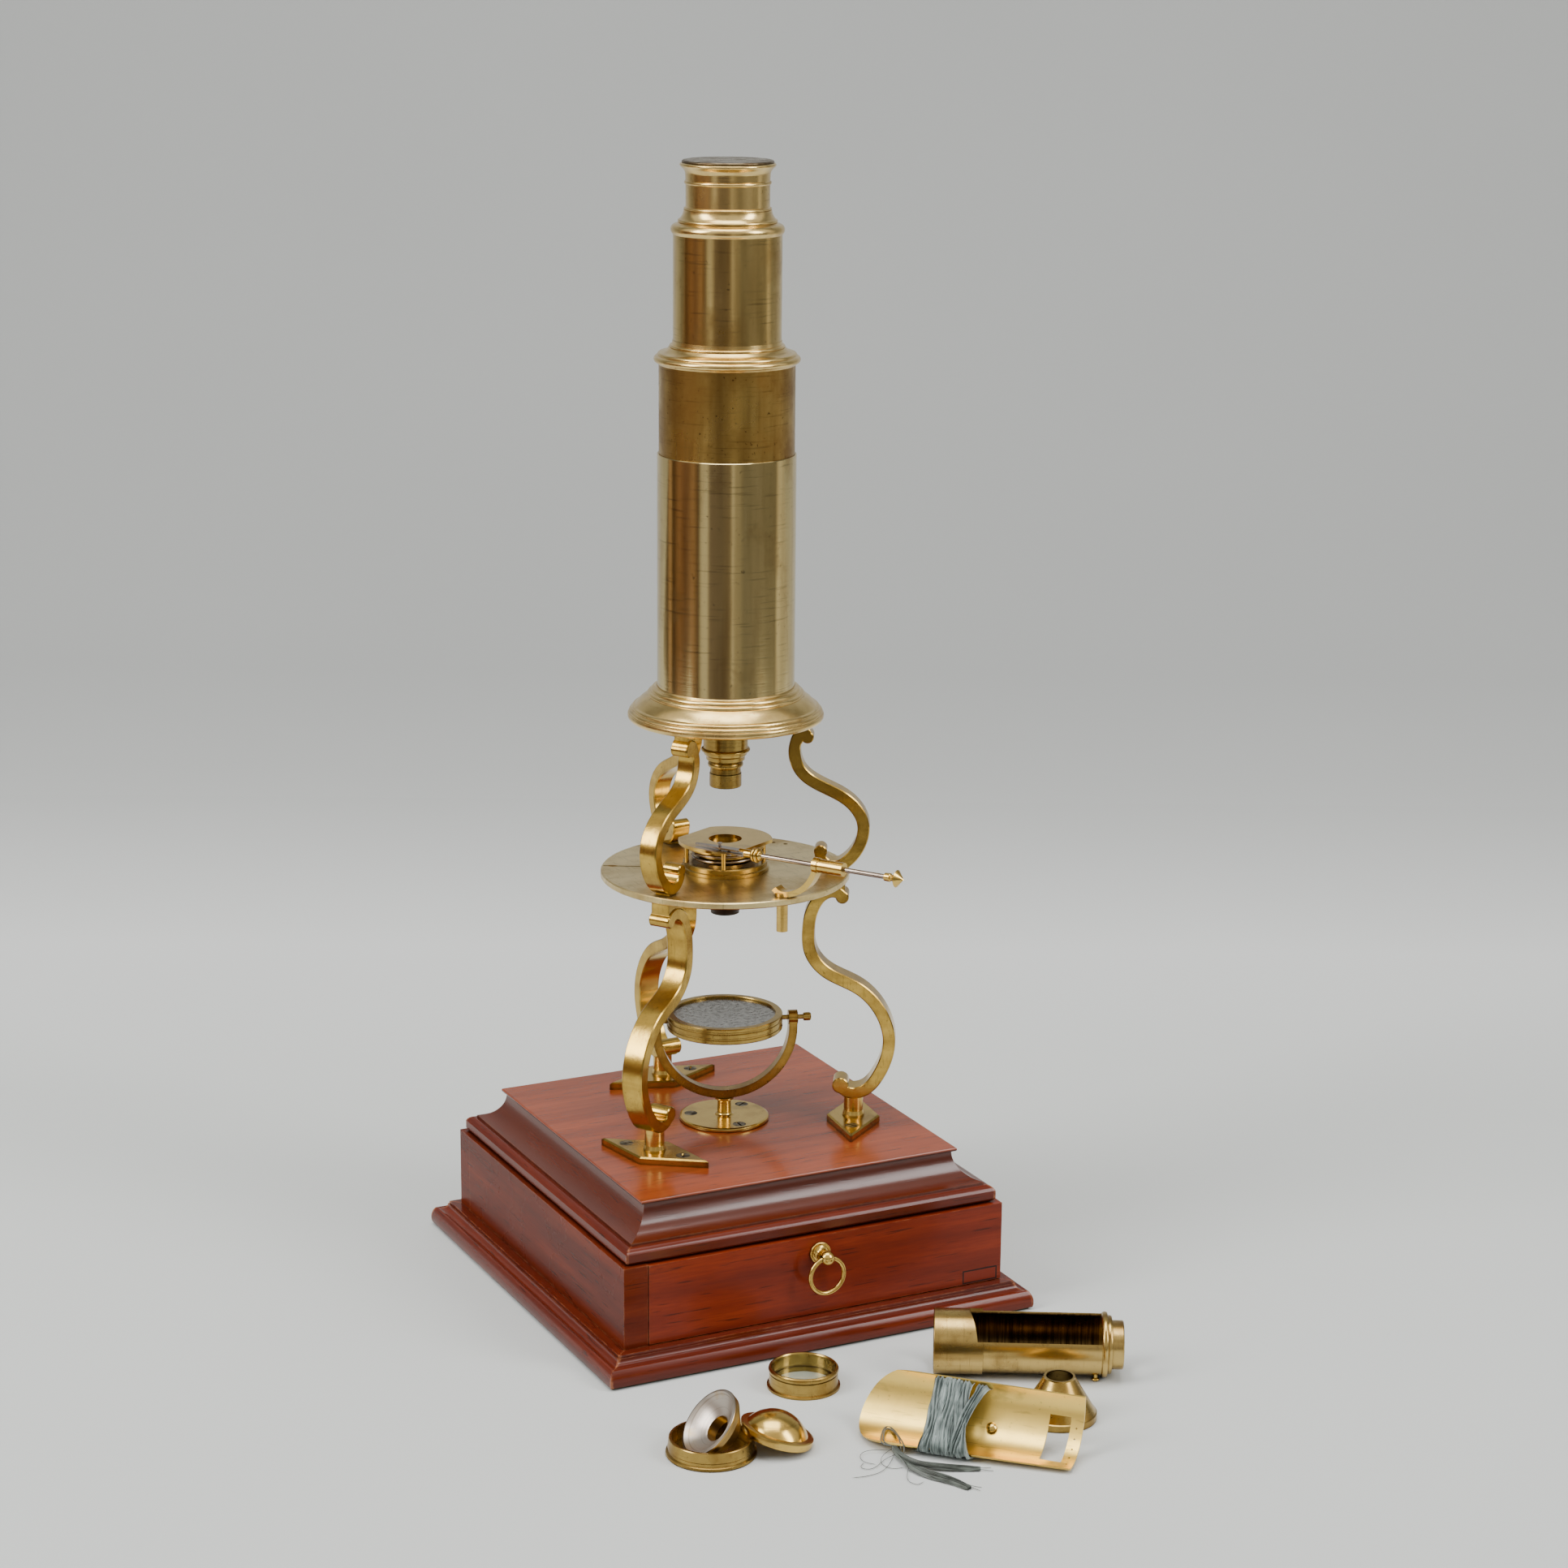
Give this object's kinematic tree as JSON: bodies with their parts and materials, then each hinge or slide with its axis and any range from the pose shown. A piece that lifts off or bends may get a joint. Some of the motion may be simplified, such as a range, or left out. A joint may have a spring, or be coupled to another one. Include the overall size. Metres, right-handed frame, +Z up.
{
  "type": "tripod microscope",
  "caption": "Brass tripod microscope on a square mahogany drawer foot, with swinging mirror, stage forceps and loose brass accessories.",
  "frame": {"origin": "centre of the foot's underside", "axes": "+Z up along the optical axis, the drawer opens towards -Y, +X to the right of someone facing the drawer"},
  "size_m": [0.1913, 0.3237, 0.4482],
  "materials": {
    "mahogany": "polished",
    "drawer_wood": "satin",
    "baize": "matte",
    "lacquered_brass": "polished",
    "tarnished_brass": "satin",
    "blackened_brass": "satin",
    "screw_steel": "satin",
    "bright_steel": "polished",
    "silvered_brass": "polished",
    "mirror_silver": "polished",
    "lens_glass": "polished",
    "silk": "satin"
  },
  "bodies": {
    "stand": {"base_felt": "baize", "plinth_moulding": "mahogany", "base_floor": "mahogany", "base_walls": "mahogany", "top_bead": "mahogany", "top_board": "mahogany", "foot_plates": "lacquered_brass", "wood_screws": "screw_steel", "leg_posts": "lacquered_brass", "lower_leg_back": "lacquered_brass", "lower_leg_left": "lacquered_brass", "lower_leg_right": "lacquered_brass", "upper_leg_back": "lacquered_brass", "upper_leg_left": "lacquered_brass", "upper_leg_right": "lacquered_brass", "stage_plate": "lacquered_brass", "spring_stage_ring": "lacquered_brass", "slide_plate": "lacquered_brass", "substage_cone": "blackened_brass", "stage_leaf": "blackened_brass", "bell_flange": "lacquered_brass", "socket_tube": "lacquered_brass", "mirror_foot": "lacquered_brass"},
    "press_plate": {"spring_plate": "lacquered_brass", "stage_spring": "bright_steel"},
    "optical_tube": {"body_tube": "tarnished_brass", "body_shoulder": "lacquered_brass", "eye_tube": "lacquered_brass", "eyepiece_mount": "lacquered_brass", "lenses": "lens_glass", "nosepiece": "lacquered_brass", "objective_button": "lacquered_brass", "objective_lens": "lens_glass"},
    "eyepiece_cap": {"dust_cap": "blackened_brass"},
    "mirror_yoke": {"mirror_fork": "lacquered_brass", "mirror_pivots": "lacquered_brass"},
    "mirror": {"mirror_cell": "lacquered_brass", "mirror_glass": "mirror_silver"},
    "drawer": {"drawer_front": "mahogany", "drawer_frame": "drawer_wood", "drawer_bottom": "drawer_wood", "pull_knob": "lacquered_brass"},
    "drawer_ring": {"pull_ring": "lacquered_brass"},
    "forceps_arm": {"forceps_bracket": "lacquered_brass"},
    "forceps": {"forceps_rod": "bright_steel", "forceps_ends": "lacquered_brass", "forceps_fixed_jaw": "bright_steel"},
    "forceps_jaw": {"forceps_spring_jaw": "bright_steel"},
    "live_box_cell": {"live_box": "lacquered_brass", "live_box_glass": "lens_glass"},
    "dish_cell": {"dish": "lacquered_brass"},
    "reflector_cell": {"reflector": "silvered_brass"},
    "lid_cell": {"lid": "lacquered_brass"},
    "fish_plate_set": {"fish_plate": "lacquered_brass", "fish_stud": "lacquered_brass", "ribbon": "silk"},
    "tube_set": {"cut_tube": "lacquered_brass", "tube_foot": "lacquered_brass"},
    "cone_cell": {"cone_shade": "lacquered_brass"}
  },
  "joints": [
    {"name": "focus_slide", "type": "slide", "parent": "stand", "child": "optical_tube", "axis": [0, 0, 1], "range_m": [-0.012, 0.03]},
    {"name": "cap_lift", "type": "slide", "parent": "optical_tube", "child": "eyepiece_cap", "axis": [0, 0, 1], "range_m": [0, 0.02]},
    {"name": "plate_press", "type": "slide", "parent": "stand", "child": "press_plate", "axis": [0, 0, -1], "range_m": [0, 0.002], "stiffness_N_per_m": 900, "springref_m": -0.0006, "deforming": ["stage_spring"]},
    {"name": "mirror_swivel", "type": "hinge", "parent": "stand", "child": "mirror_yoke", "pos_m": [0, 0, 0.07], "axis": [0, 0, 1], "continuous": true},
    {"name": "mirror_tilt", "type": "hinge", "parent": "mirror_yoke", "child": "mirror", "pos_m": [0, 0, 0.1062], "axis": [0.9472, -0.3206, 0], "continuous": true},
    {"name": "drawer_slide", "type": "slide", "parent": "stand", "child": "drawer", "axis": [0, -1, 0], "range_m": [0, 0.019]},
    {"name": "ring_swing", "type": "hinge", "parent": "drawer", "child": "drawer_ring", "pos_m": [0.0008, -0.0911, 0.0366], "axis": [-1, 0, 0], "range_deg": [0, 110]},
    {"name": "forceps_swivel", "type": "hinge", "parent": "stand", "child": "forceps_arm", "pos_m": [0.0031, -0.045, 0.17], "axis": [0, 0, 1], "range_deg": [-30, 15]},
    {"name": "forceps_slide", "type": "slide", "parent": "forceps_arm", "child": "forceps", "axis": [0.5446, -0.8387, 0], "range_m": [-0.013, 0.02]},
    {"name": "jaw_open", "type": "hinge", "parent": "forceps", "child": "forceps_jaw", "pos_m": [-0.00741, -0.02881, 0.1849], "axis": [0.8387, 0.5446, 0], "range_deg": [0, 3], "stiffness_Nm_per_rad": 0.02, "springref_deg": -2.86},
    {"name": "live_box_lift", "type": "slide", "parent": "stand", "child": "live_box_cell", "axis": [0, 0, 1], "range_m": [0, 0.03]},
    {"name": "dish_lift", "type": "slide", "parent": "stand", "child": "dish_cell", "axis": [0, 0, 1], "range_m": [0, 0.03]},
    {"name": "reflector_lift", "type": "slide", "parent": "dish_cell", "child": "reflector_cell", "axis": [0, 0, 1], "range_m": [0, 0.03]},
    {"name": "lid_lift", "type": "slide", "parent": "dish_cell", "child": "lid_cell", "axis": [0, 0, 1], "range_m": [0, 0.03]},
    {"name": "fish_plate_lift", "type": "slide", "parent": "stand", "child": "fish_plate_set", "axis": [0, 0, 1], "range_m": [0, 0.03]},
    {"name": "tube_lift", "type": "slide", "parent": "stand", "child": "tube_set", "axis": [0, 0, 1], "range_m": [0, 0.03]},
    {"name": "cone_lift", "type": "slide", "parent": "stand", "child": "cone_cell", "axis": [0, 0, 1], "range_m": [0, 0.03]}
  ]
}
